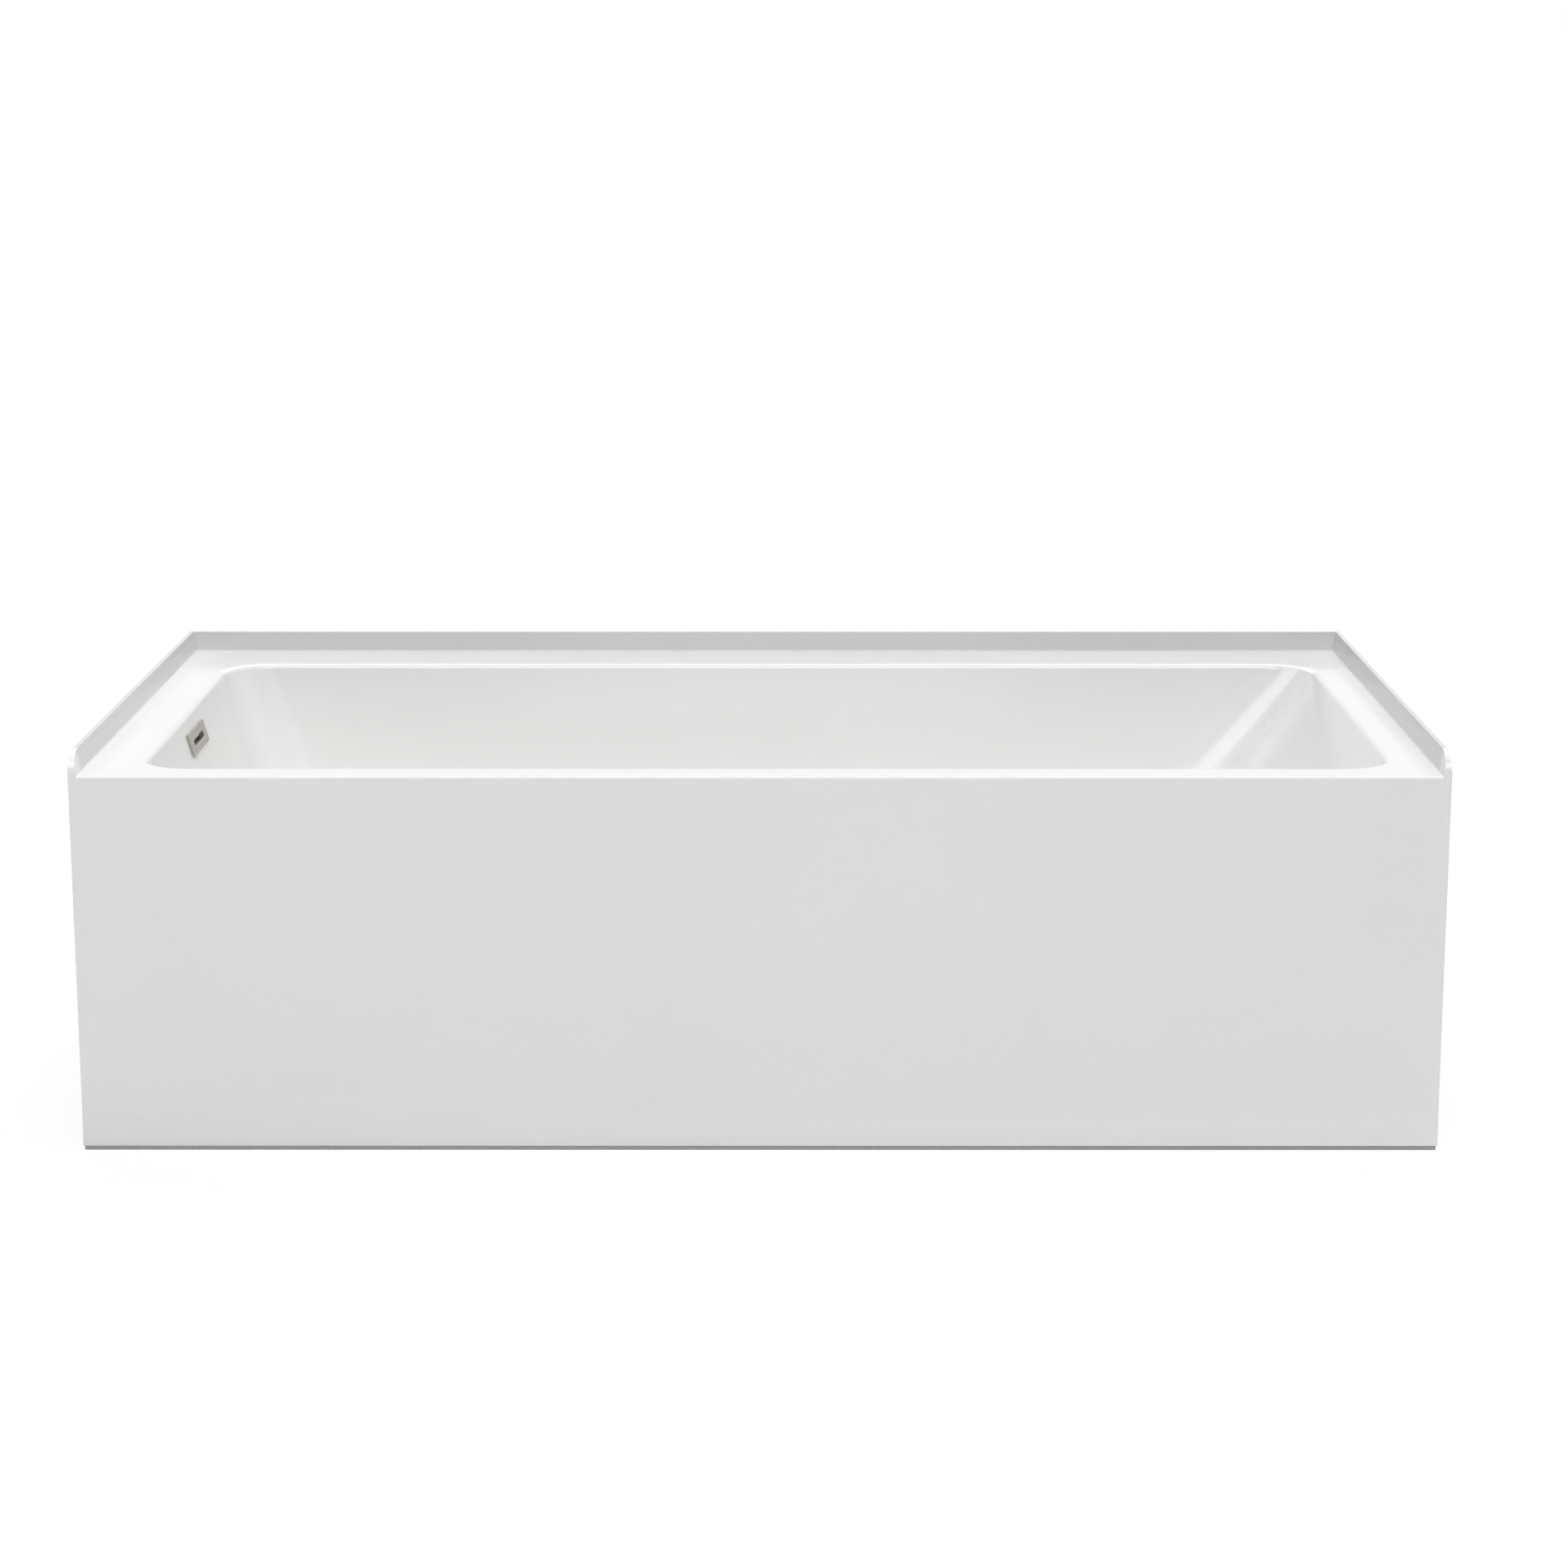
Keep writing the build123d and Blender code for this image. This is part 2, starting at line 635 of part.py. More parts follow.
flange_z = seat_z + rubber
shank_bottom = 52.0
bar_z = 62.0
with BuildPart() as drain_flange:
    with BuildSketch(drain.offset(shank_bottom)):
        Circle(shank_radius)
    extrude(amount=flange_z - shank_bottom)
    with BuildSketch(drain.offset(flange_z)):
        Circle(flange_radius)
    extrude(amount=flange_edge)
    chamfer(drain_flange.edges().group_by(Axis.Z)[-1], length=1.2)
    with BuildSketch(drain.offset(shank_bottom)):
        Circle(throat_radius)
    extrude(amount=40, mode=Mode.SUBTRACT)
    chamfer(
        drain_flange.edges().group_by(Axis.Z)[-1].filter_by(GeomType.CIRCLE).sort_by(SortBy.RADIUS)[0],
        length=2,
    )
    # Cross bars that carry the stopper's cartridge
    with BuildSketch(drain.offset(bar_z)):
        Rectangle(2 * throat_radius + 1, bar_width)
        Rectangle(bar_width, 2 * throat_radius + 1)
        Circle(hub_radius)
    extrude(amount=bar_thickness)
    with BuildSketch(drain.offset(bar_z)):
        Circle(bush_radius)
    extrude(amount=bar_thickness, mode=Mode.SUBTRACT)
save(drain_flange, "drain_flange")

drain_flange_top = flange_z + flange_edge
seal_height = 2.0
cap_bottom = drain_flange_top + seal_height
with BuildPart() as stopper_cartridge:
    with BuildSketch(drain.offset(bar_z + bar_thickness)):
        Circle(hub_radius)
    extrude(amount=10)
    with BuildSketch(drain.offset(bar_z - 6)):
        Circle(bush_radius - bush_gap)
    extrude(amount=10)
    with BuildSketch(drain.offset(bar_z - 4)):
        Circle(stem_bore)
    extrude(amount=30, mode=Mode.SUBTRACT)
save(stopper_cartridge, "stopper_cartridge")

with BuildPart() as stopper_stem:
    with BuildSketch(drain.offset(bar_z - 2)):
        Circle(stem_radius)
    extrude(amount=cap_bottom - bar_z + 2)
save(stopper_stem, "stopper_stem")

with BuildPart() as stopper_cap:
    with BuildSketch(drain.offset(cap_bottom)):
        Circle(cap_radius)
    extrude(amount=cap_thickness)
    fillet(stopper_cap.edges().group_by(Axis.Z)[-1], radius=cap_edge)
    with BuildSketch(drain.offset(cap_bottom)):
        Circle(collar_radius)
    extrude(amount=-collar_height)
    with BuildSketch(drain.offset(cap_bottom - collar_height)):
        Circle(stem_radius)
    extrude(amount=collar_height, mode=Mode.SUBTRACT)
save(stopper_cap, "stopper_cap")

save(ring(stopper_seal_radius, collar_radius, drain_flange_top, cap_bottom), "stopper_seal")
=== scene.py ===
# Alcove bathtub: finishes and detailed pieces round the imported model, in a plain studio
import bpy
import json
import math
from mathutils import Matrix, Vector


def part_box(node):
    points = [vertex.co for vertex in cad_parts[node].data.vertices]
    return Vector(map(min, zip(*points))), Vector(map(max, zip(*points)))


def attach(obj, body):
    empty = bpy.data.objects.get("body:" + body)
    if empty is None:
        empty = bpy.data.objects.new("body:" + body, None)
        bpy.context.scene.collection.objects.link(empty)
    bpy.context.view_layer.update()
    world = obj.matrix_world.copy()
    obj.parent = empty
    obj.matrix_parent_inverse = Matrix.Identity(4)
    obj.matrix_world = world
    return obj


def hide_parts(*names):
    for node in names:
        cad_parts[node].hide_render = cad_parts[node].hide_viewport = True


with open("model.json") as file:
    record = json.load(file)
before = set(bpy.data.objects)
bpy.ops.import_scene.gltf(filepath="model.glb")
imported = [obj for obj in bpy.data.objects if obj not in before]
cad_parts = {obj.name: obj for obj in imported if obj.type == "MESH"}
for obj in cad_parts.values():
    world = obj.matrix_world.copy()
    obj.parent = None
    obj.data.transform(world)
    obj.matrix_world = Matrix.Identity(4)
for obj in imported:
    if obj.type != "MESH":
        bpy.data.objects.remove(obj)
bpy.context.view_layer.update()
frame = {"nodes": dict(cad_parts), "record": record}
nodes = frame["nodes"]
print("frame loaded,", len(nodes), "nodes")


def startMaterial(name, colour, roughness, metallic=0.0):
    # a new material with object coordinates at hand
    mat = bpy.data.materials.new(name)
    mat.use_nodes = True
    tree = mat.node_tree
    shader = tree.nodes["Principled BSDF"]
    shader.inputs["Base Color"].default_value = (*colour, 1)
    shader.inputs["Roughness"].default_value = roughness
    shader.inputs["Metallic"].default_value = metallic
    coords = tree.nodes.new("ShaderNodeTexCoord")
    return mat, tree, shader, coords.outputs["Object"]


def stretched(tree, coords, scale):
    # object coordinates, stretched along an axis for grain or brushing
    mapping = tree.nodes.new("ShaderNodeMapping")
    mapping.inputs["Scale"].default_value = scale
    tree.links.new(coords, mapping.inputs["Vector"])
    return mapping.outputs["Vector"]


def addNoise(tree, coords, scale, detail=3.0, roughness=0.5, distortion=0.0):
    noise = tree.nodes.new("ShaderNodeTexNoise")
    noise.inputs["Scale"].default_value = scale
    noise.inputs["Detail"].default_value = detail
    noise.inputs["Roughness"].default_value = roughness
    noise.inputs["Distortion"].default_value = distortion
    tree.links.new(coords, noise.inputs["Vector"])
    return noise.outputs["Fac"]


def addRamp(tree, value, stops):
    # stops are (place, colour) pairs
    ramp = tree.nodes.new("ShaderNodeValToRGB")
    elements = ramp.color_ramp.elements
    while len(elements) < len(stops):
        elements.new(0.5)
    for element, (place, colour) in zip(elements, stops):
        element.position = place
        element.color = (*colour, 1)
    tree.links.new(value, ramp.inputs["Fac"])
    return ramp.outputs["Color"]


def addRange(tree, value, low, high, fromLow=0.3, fromHigh=0.7):
    ranged = tree.nodes.new("ShaderNodeMapRange")
    ranged.inputs["From Min"].default_value = fromLow
    ranged.inputs["From Max"].default_value = fromHigh
    ranged.inputs["To Min"].default_value = low
    ranged.inputs["To Max"].default_value = high
    tree.links.new(value, ranged.inputs["Value"])
    return ranged.outputs["Result"]


def addMath(tree, operation, first, second):
    both = tree.nodes.new("ShaderNodeMath")
    both.operation = operation
    tree.links.new(first, both.inputs[0])
    tree.links.new(second, both.inputs[1])
    return both.outputs["Value"]


def addBump(tree, shader, height, strength, distance):
    bump = tree.nodes.new("ShaderNodeBump")
    bump.inputs["Strength"].default_value = strength
    bump.inputs["Distance"].default_value = distance
    tree.links.new(height, bump.inputs["Height"])
    tree.links.new(bump.outputs["Normal"], shader.inputs["Normal"])


def riseAlong(tree, coords, axis, start, end):
    # 0 below start and 1 above end, along one axis of the object
    apart = tree.nodes.new("ShaderNodeSeparateXYZ")
    tree.links.new(coords, apart.inputs["Vector"])
    return addRange(tree, apart.outputs[axis], 0.0, 1.0, start, end)


def darker(colour, share):
    return tuple(share * part for part in colour)


acrylicLook = {
    "colour": (0.965, 0.965, 0.96),
    "cloudScale": 3.0,
    "cloudShade": 0.985,
    "roughness": (0.10, 0.17),
    "glossScale": 9.0,
    "ior": 1.49,
    "peelScale": 160.0,
    "peelStrength": 0.012,
    "peelDepth": 0.002,
    # the upstanding tile flange gets painted shade: a flat grey, darker than the deck, standing in for the
    # shade on its faces
    "paintedFlangeShade": (0.74, 0.74, 0.74),
    "flangeHeight": 0.025,
    "flangeStart": 0.0005,
    "flangeFade": 0.0025,
    "noseDepth": 0.020,
}


def addFlangeShadeMask(tree, coords):
    # 1 on the flange, where the painted shade goes: above the deck and behind the rounded front noses
    low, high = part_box("tub_rim")
    deck = high.z - acrylicLook["flangeHeight"]
    nose = acrylicLook["noseDepth"]
    above = riseAlong(tree, coords, "Z", deck + acrylicLook["flangeStart"], deck + acrylicLook["flangeFade"])
    behind = riseAlong(tree, coords, "Y", low.y + nose, low.y + 2 * nose)
    return addMath(tree, "MULTIPLY", above, behind)


def makeAcrylic():
    # cast acrylic sheet: a faint cloudiness, a slow change of gloss and a trace of orange peel, with painted
    # shade greying the flange
    look = acrylicLook
    mat, tree, shader, coords = startMaterial("acrylicWhite", look["colour"], look["roughness"][0])
    cloud = addNoise(tree, coords, look["cloudScale"], 2.0)
    stops = [(0.3, darker(look["colour"], look["cloudShade"])), (0.7, look["colour"])]
    mix = tree.nodes.new("ShaderNodeMix")
    mix.data_type = "RGBA"
    # painted shade: the flange is mixed towards a flat grey, as though it stood in shade
    tree.links.new(addFlangeShadeMask(tree, coords), mix.inputs["Factor"])
    tree.links.new(addRamp(tree, cloud, stops), mix.inputs["A"])
    mix.inputs["B"].default_value = (*look["paintedFlangeShade"], 1)
    tree.links.new(mix.outputs["Result"], shader.inputs["Base Color"])
    gloss = addNoise(tree, coords, look["glossScale"])
    tree.links.new(addRange(tree, gloss, *look["roughness"]), shader.inputs["Roughness"])
    shader.inputs["IOR"].default_value = look["ior"]
    peel = addNoise(tree, coords, look["peelScale"], 1.0)
    addBump(tree, shader, peel, look["peelStrength"], look["peelDepth"])
    return mat


def breakUp(tree, shader, pattern, colour, shade, roughness, swing):
    # one pattern that darkens the colour in places by shade and moves the gloss between two shares
    stops = [(0.35, darker(colour, shade)), (0.65, colour)]
    tree.links.new(addRamp(tree, pattern, stops), shader.inputs["Base Color"])
    gloss = addRange(tree, pattern, roughness * swing[0], roughness * swing[1])
    tree.links.new(gloss, shader.inputs["Roughness"])


# moulded plastics and rubber, by slot
plainLooks = {
    "base_strip_grey": {"name": "baseStripGrey", "colour": (0.42, 0.42, 0.42), "roughness": 0.5},
    "foot_plastic": {
        "name": "footPlastic",
        "colour": (0.03, 0.03, 0.032),
        "roughness": 0.45,
        "grainScale": 500.0,
        "bump": 0.2,
    },
    "pipe_white": {
        "name": "pipeWhite",
        "colour": (0.80, 0.80, 0.77),
        "roughness": 0.28,
        "grainScale": 180.0,
        "bump": 0.02,
        "shade": 0.98,
    },
    "nut_grey": {
        "name": "nutGrey",
        "colour": (0.25, 0.26, 0.27),
        "roughness": 0.4,
        "grainScale": 400.0,
        "bump": 0.15,
    },
    "rubber_black": {
        "name": "rubberBlack",
        "colour": (0.025, 0.025, 0.025),
        "roughness": 0.6,
        "grainScale": 700.0,
        "bump": 0.25,
    },
}
grainSwing = (0.85, 1.15)
grainDepth = 0.0004


def makePlain(name, colour, roughness, grainScale=300.0, bump=0.1, shade=0.88):
    # a fine moulded grain
    mat, tree, shader, coords = startMaterial(name, colour, roughness)
    grain = addNoise(tree, coords, grainScale, 4.0)
    breakUp(tree, shader, grain, colour, shade, roughness, grainSwing)
    addBump(tree, shader, grain, bump, grainDepth)
    return mat


nickelLook = {
    "colour": (0.50, 0.47, 0.43),
    "plateRoughness": 0.34,
    "plateStretch": (900.0, 12.0, 900.0),
    "turnedRoughness": 0.28,
}
brassLook = {"colour": (0.72, 0.52, 0.22), "roughness": 0.25}
scratchLook = {"shade": 0.82, "swing": (0.8, 1.3), "bump": 0.15, "depth": 0.0002}
ringLook = {"scale": 2500.0, "shade": 0.85, "swing": (0.8, 1.25), "bump": 0.12, "depth": 0.0002}


def makeBrushed(name, colour, roughness, stretch):
    # metal brushed one way: long fine scratches in tone, gloss and relief
    look = scratchLook
    mat, tree, shader, coords = startMaterial(name, colour, roughness, 1.0)
    scratches = addNoise(tree, stretched(tree, coords, stretch), 1.0, 5.0, 0.65)
    breakUp(tree, shader, scratches, colour, look["shade"], roughness, look["swing"])
    addBump(tree, shader, scratches, look["bump"], look["depth"])
    return mat


def makeTurned(name, colour, roughness, centre):
    # metal turned on a lathe: fine rings about an upright axis
    look = ringLook
    mat, tree, shader, coords = startMaterial(name, colour, roughness, 1.0)
    fromAxis = tree.nodes.new("ShaderNodeVectorMath")
    fromAxis.operation = "SUBTRACT"
    fromAxis.inputs[1].default_value = (centre.x, centre.y, 0)
    tree.links.new(coords, fromAxis.inputs[0])
    flat = tree.nodes.new("ShaderNodeVectorMath")
    flat.operation = "MULTIPLY"
    flat.inputs[1].default_value = (1, 1, 0)
    tree.links.new(fromAxis.outputs["Vector"], flat.inputs[0])
    radius = tree.nodes.new("ShaderNodeVectorMath")
    radius.operation = "LENGTH"
    tree.links.new(flat.outputs["Vector"], radius.inputs[0])
    rings = addNoise(tree, radius.outputs["Value"], look["scale"], 3.0, 0.6)
    breakUp(tree, shader, rings, colour, look["shade"], roughness, look["swing"])
    addBump(tree, shader, rings, look["bump"], look["depth"])
    return mat


zincLook = {
    "colour": (0.62, 0.64, 0.66),
    "dull": (0.52, 0.54, 0.56),
    "bright": (0.68, 0.70, 0.71),
    "crystalScale": 160.0,
    "bloomScale": 40.0,
    "roughness": (0.28, 0.5),
    "bloomBump": 0.08,
    "bloomDepth": 0.0003,
}


def makeZinc():
    # zinc plating: pale crystals with a dull bloom
    look = zincLook
    mat, tree, shader, coords = startMaterial("zincSteel", look["colour"], look["roughness"][0], 1.0)
    crystals = tree.nodes.new("ShaderNodeTexVoronoi")
    crystals.inputs["Scale"].default_value = look["crystalScale"]
    tree.links.new(coords, crystals.inputs["Vector"])
    stops = [(0.2, look["dull"]), (0.8, look["bright"])]
    tree.links.new(addRamp(tree, crystals.outputs["Color"], stops), shader.inputs["Base Color"])
    bloom = addNoise(tree, coords, look["bloomScale"], 4.0)
    tree.links.new(addRange(tree, bloom, *look["roughness"]), shader.inputs["Roughness"])
    addBump(tree, shader, bloom, look["bloomBump"], look["bloomDepth"])
    return mat


fibreLook = {
    "resin": (0.66, 0.62, 0.48),
    "strand": (0.80, 0.78, 0.68),
    "strandAngles": (0.5, -0.9, 1.9),
    "strandStretch": (30, 420, 420),
    "tilt": 0.6,
    "roughness": (0.35, 0.65),
    "glossScale": 12.0,
    "bump": 0.6,
    "relief": 0.0012,
}


def makeFibreglass():
    # sprayed chopped strands, laid every way and wetted out with resin
    look = fibreLook
    mat, tree, shader, coords = startMaterial("fibreglass", look["resin"], look["roughness"][0])
    total = None
    for angle in look["strandAngles"]:
        turned = tree.nodes.new("ShaderNodeMapping")
        turned.inputs["Rotation"].default_value = (angle, look["tilt"] * angle, angle)
        tree.links.new(coords, turned.inputs["Vector"])
        along = stretched(tree, turned.outputs["Vector"], look["strandStretch"])
        strands = addNoise(tree, along, 1.0, 2.0)
        total = strands if total is None else addMath(tree, "MAXIMUM", total, strands)
    stops = [(0.5, look["resin"]), (0.72, look["strand"])]
    tree.links.new(addRamp(tree, total, stops), shader.inputs["Base Color"])
    gloss = addNoise(tree, coords, look["glossScale"])
    tree.links.new(addRange(tree, gloss, *look["roughness"]), shader.inputs["Roughness"])
    addBump(tree, shader, total, look["bump"], look["relief"])
    return mat


woodLook = {
    "pale": (0.62, 0.44, 0.26),
    "dark": (0.40, 0.25, 0.13),
    "ringScale": 55.0,
    "alongScale": 1.2,
    "poreScale": 900.0,
    "poreAlongScale": 25.0,
    "roughness": (0.55, 0.8),
    "poreBump": 0.3,
    "poreDepth": 0.0004,
}


def alongGrain(across, along, axis):
    # noise scales, the same on two axes and long on the third
    scales = [across] * 3
    scales[axis] = along
    return scales


def makeTimber(name, axis):
    # sawn softwood: growth bands drawn out along the grain, fine pores over them
    look = woodLook
    mat, tree, shader, coords = startMaterial(name, look["pale"], look["roughness"][0])
    rings = alongGrain(look["ringScale"], look["alongScale"], axis)
    bands = addNoise(tree, stretched(tree, coords, rings), 1.0, 3.0, 0.5, 0.6)
    stops = [(0.32, look["dark"]), (0.46, look["pale"]), (0.58, look["dark"]), (0.66, look["pale"])]
    tree.links.new(addRamp(tree, bands, stops), shader.inputs["Base Color"])
    pores = alongGrain(look["poreScale"], look["poreAlongScale"], axis)
    fine = addNoise(tree, stretched(tree, coords, pores), 1.0, 2.0)
    tree.links.new(addRange(tree, fine, *look["roughness"]), shader.inputs["Roughness"])
    addBump(tree, shader, fine, look["poreBump"], look["poreDepth"])
    return mat


plyLook = {
    "faceDark": (0.48, 0.33, 0.19),
    "facePale": (0.70, 0.54, 0.36),
    "faceStretch": (3.0, 45.0, 45.0),
    "plyShade": (0.62, 0.56, 0.50),
    "plyScale": 62.0,
    "plyWander": 0.4,
    "plyShare": 0.8,
    "roughness": (0.5, 0.75),
    "grainBump": 0.2,
    "grainDepth": 0.0005,
}


def makePlywood():
    # birch ply: rotary-cut face grain, and thin plies showing dark and light on the edges
    look = plyLook
    mat, tree, shader, coords = startMaterial("plywood", look["facePale"], look["roughness"][0])
    grain = addNoise(tree, stretched(tree, coords, look["faceStretch"]), 1.0, 4.0, 0.55, 1.2)
    face = addRamp(tree, grain, [(0.3, look["faceDark"]), (0.7, look["facePale"])])
    plies = tree.nodes.new("ShaderNodeTexWave")
    plies.bands_direction = "Z"
    plies.inputs["Scale"].default_value = look["plyScale"]
    plies.inputs["Distortion"].default_value = look["plyWander"]
    tree.links.new(coords, plies.inputs["Vector"])
    tint = addRamp(tree, plies.outputs["Fac"], [(0.35, look["plyShade"]), (0.55, (1, 1, 1))])
    mix = tree.nodes.new("ShaderNodeMix")
    mix.data_type = "RGBA"
    mix.blend_type = "MULTIPLY"
    mix.inputs["Factor"].default_value = look["plyShare"]
    tree.links.new(face, mix.inputs["A"])
    tree.links.new(tint, mix.inputs["B"])
    tree.links.new(mix.outputs["Result"], shader.inputs["Base Color"])
    tree.links.new(addRange(tree, grain, *look["roughness"]), shader.inputs["Roughness"])
    addBump(tree, shader, grain, look["grainBump"], look["grainDepth"])
    return mat


def middle(node):
    low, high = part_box(node)
    return (Vector(low) + Vector(high)) / 2


drainCentre = middle("stopper_stem")
nickel = nickelLook["colour"]
finishes = {
    "acrylic_white": makeAcrylic(),
    "fibreglass": makeFibreglass(),
    "timber": makeTimber("timberAlongX", 0),
    "plywood": makePlywood(),
    "zinc_steel": makeZinc(),
    "brushed_nickel": makeTurned("turnedNickel", nickel, nickelLook["turnedRoughness"], drainCentre),
    "brass": makeTurned("turnedBrass", brassLook["colour"], brassLook["roughness"], drainCentre),
}
for slot, look in plainLooks.items():
    finishes[slot] = makePlain(**look)
timberUpright = makeTimber("timberAlongZ", 2)
timberAcross = makeTimber("timberAlongY", 1)
plateNickel = makeBrushed(
    "brushedNickel", nickel, nickelLook["plateRoughness"], nickelLook["plateStretch"]
)

# nodes whose grain or brushing runs another way than their slot's
ribNames = [f"apron_rib_{number}" for number in range(1, 6)]
special = {"overflow_plate": plateNickel, "rim_board_end": timberAcross}
for name in ribNames:
    special[name] = timberUpright
slotOf = {part["node"]: part["material_slot"] for part in frame["record"]["subparts"]}
for name, node in nodes.items():
    node.data.materials.clear()
    node.data.materials.append(special.get(name, finishes[slotOf[name]]))
print("finishes on")


# how wide each sharp-edged node's arrises are rounded
edgeEase = {
    "apron_top_batten": 0.0008,
    "apron_bottom_batten": 0.0008,
    "rim_board_back": 0.0006,
    "rim_board_end": 0.0006,
    "base_board": 0.0006,
    "front_apron": 0.0006,
    "apron_base_strip": 0.0005,
    "apron_brackets": 0.0004,
    "weld_nuts": 0.0006,
    "lock_nuts": 0.0006,
    "overflow_nuts": 0.0004,
}
ribEase = 0.0008
railEase = 0.0005
weldGap = 0.00002
sharpFrom = 40
railNames = [f"cross_rail_{number}" for number in range(1, 4)]


def easeEdges(node, width):
    # rounded arrises catch a thin highlight
    weld = node.modifiers.new("weld", "WELD")
    weld.merge_threshold = weldGap
    bevel = node.modifiers.new("ease", "BEVEL")
    bevel.width = width
    bevel.segments = 2
    bevel.limit_method = "ANGLE"
    bevel.angle_limit = math.radians(sharpFrom)
    bevel.harden_normals = True


for name in ribNames:
    edgeEase[name] = ribEase
for name in railNames:
    edgeEase[name] = railEase
for name, width in edgeEase.items():
    easeEdges(nodes[name], width)
print("edges eased")


smoothUpTo = 35
levelEnough = 0.99


def onlySelect(*pieces):
    bpy.ops.object.select_all(action="DESELECT")
    for piece in pieces:
        piece.select_set(True)
    bpy.context.view_layer.objects.active = pieces[0]


def pickFaces(piece, test):
    # edit mode, with only the faces that pass the test picked
    onlySelect(piece)
    bpy.ops.object.mode_set(mode="EDIT")
    bpy.ops.mesh.select_mode(type="FACE")
    bpy.ops.mesh.select_all(action="DESELECT")
    bpy.ops.object.mode_set(mode="OBJECT")
    for face in piece.data.polygons:
        face.select = test(face)
    bpy.ops.object.mode_set(mode="EDIT")


def facingUp(face):
    return face.normal.z > levelEnough


def facingDown(face):
    return face.normal.z < -levelEnough


def editAll():
    # edit mode, with everything in the active piece picked
    bpy.ops.object.mode_set(mode="EDIT")
    bpy.ops.mesh.select_all(action="SELECT")


def applyAll(piece):
    onlySelect(piece)
    for modifier in list(piece.modifiers):
        bpy.ops.object.modifier_apply(modifier=modifier.name)


def roundEdges(piece, width, segments=2):
    ease = piece.modifiers.new("ease", "BEVEL")
    ease.width = width
    ease.segments = segments
    applyAll(piece)


def bakePlace():
    bpy.ops.object.transform_apply(location=True, rotation=True, scale=True)


def settle(piece, name, body, material, slotName, *replaced):
    # the finished piece: its place goes into its mesh, and it gets a body, a finish and a name
    onlySelect(piece)
    bakePlace()
    piece.name = name
    piece.data.name = name
    piece.data.materials.clear()
    piece.data.materials.append(material)
    bpy.ops.object.shade_smooth_by_angle(angle=math.radians(smoothUpTo))
    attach(piece, body)
    if replaced:
        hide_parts(*replaced)


def copyPiece(piece):
    onlySelect(piece)
    bpy.ops.object.duplicate()
    return bpy.context.object


levelScrew = {
    "radius": 0.005,
    "threadDepth": 0.0009,
    "pitch": 0.0015,
    "threadStart": 0.022,
    "threadTopGap": 0.001,
    "threadSteps": 20,
    "neckEase": 0.0004,
    "hexFlats": 0.013,
    "hexBottom": 0.0140,
    "hexHeight": 0.006,
    "hexEase": 0.0005,
    "rodSides": 32,
}


def makeThread(spec, top):
    # one small triangle wound up the z axis
    bpy.ops.mesh.primitive_circle_add(
        vertices=3,
        radius=spec["threadDepth"] / 1.5,
        location=(0, 0, 0),
        rotation=(math.radians(90), 0, 0),
    )
    ridge = bpy.context.object
    bakePlace()
    editAll()
    bpy.ops.transform.rotate(value=math.radians(90), orient_axis="Y", center_override=(0, 0, 0))
    bpy.ops.object.mode_set(mode="OBJECT")
    reach = max(vertex.co.x for vertex in ridge.data.vertices)
    editAll()
    bpy.ops.transform.translate(value=(spec["radius"] - reach, 0, spec["threadStart"] + spec["pitch"]))
    bpy.ops.object.mode_set(mode="OBJECT")
    room = top - spec["threadTopGap"] - spec["threadStart"]
    wind = ridge.modifiers.new("wind", "SCREW")
    wind.steps = spec["threadSteps"]
    wind.render_steps = spec["threadSteps"]
    wind.iterations = int(room / spec["pitch"]) - 1
    wind.screw_offset = spec["pitch"]
    wind.use_merge_vertices = False
    applyAll(ridge)
    editAll()
    bpy.ops.mesh.fill_holes(sides=3)
    bpy.ops.mesh.select_all(action="SELECT")
    bpy.ops.mesh.normals_make_consistent(inside=False)
    bpy.ops.object.mode_set(mode="OBJECT")
    return ridge


def makeLevelScrew():
    low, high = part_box("foot_screw_1")
    spec = levelScrew
    centre = middle("foot_screw_1")
    # core rod, inside the thread
    bpy.ops.mesh.primitive_cylinder_add(
        vertices=spec["rodSides"],
        radius=spec["radius"] - spec["threadDepth"],
        depth=high.z - low.z,
        location=centre,
    )
    rod = bpy.context.object
    # plain neck between the thread and the foot
    bpy.ops.mesh.primitive_cylinder_add(
        vertices=spec["rodSides"],
        radius=spec["radius"],
        depth=spec["threadStart"] - low.z,
        location=(centre.x, centre.y, (spec["threadStart"] + low.z) / 2),
    )
    neck = bpy.context.object
    roundEdges(neck, spec["neckEase"])
    # spanner hexagon
    bpy.ops.mesh.primitive_cylinder_add(
        vertices=6,
        radius=spec["hexFlats"] / 2 / math.cos(math.radians(30)),
        depth=spec["hexHeight"],
        location=(centre.x, centre.y, spec["hexBottom"] + spec["hexHeight"] / 2),
    )
    hexagon = bpy.context.object
    roundEdges(hexagon, spec["hexEase"])
    ridge = makeThread(spec, high.z)
    ridge.location = (centre.x, centre.y, 0)
    onlySelect(rod, neck, hexagon, ridge)
    bpy.ops.object.join()
    return bpy.context.object


zinc = finishes["zinc_steel"]
firstScrew = makeLevelScrew()
firstPlace = middle("foot_screw_1")
for number in range(2, 7):
    replaced = f"foot_screw_{number}"
    twin = copyPiece(firstScrew)
    twin.location = twin.location + middle(replaced) - firstPlace
    settle(twin, f"levelScrew{number}", f"foot_{number}", zinc, "zinc_steel", replaced)
settle(firstScrew, "levelScrew1", "foot_1", zinc, "zinc_steel", "foot_screw_1")
print("levelling screws made")


panHead = {
    "railRadius": 0.0045,
    "bracketRadius": 0.004,
    "sides": 32,
    "height": 0.0025,
    "dome": 0.0007,
    "domeSteps": 3,
    "insetStep": 0.08,
    "firstRise": 0.55,
    "riseDrop": 0.19,
    "recessLength": 0.0042,
    "recessWidth": 0.0011,
    "recessDepth": 0.0014,
}


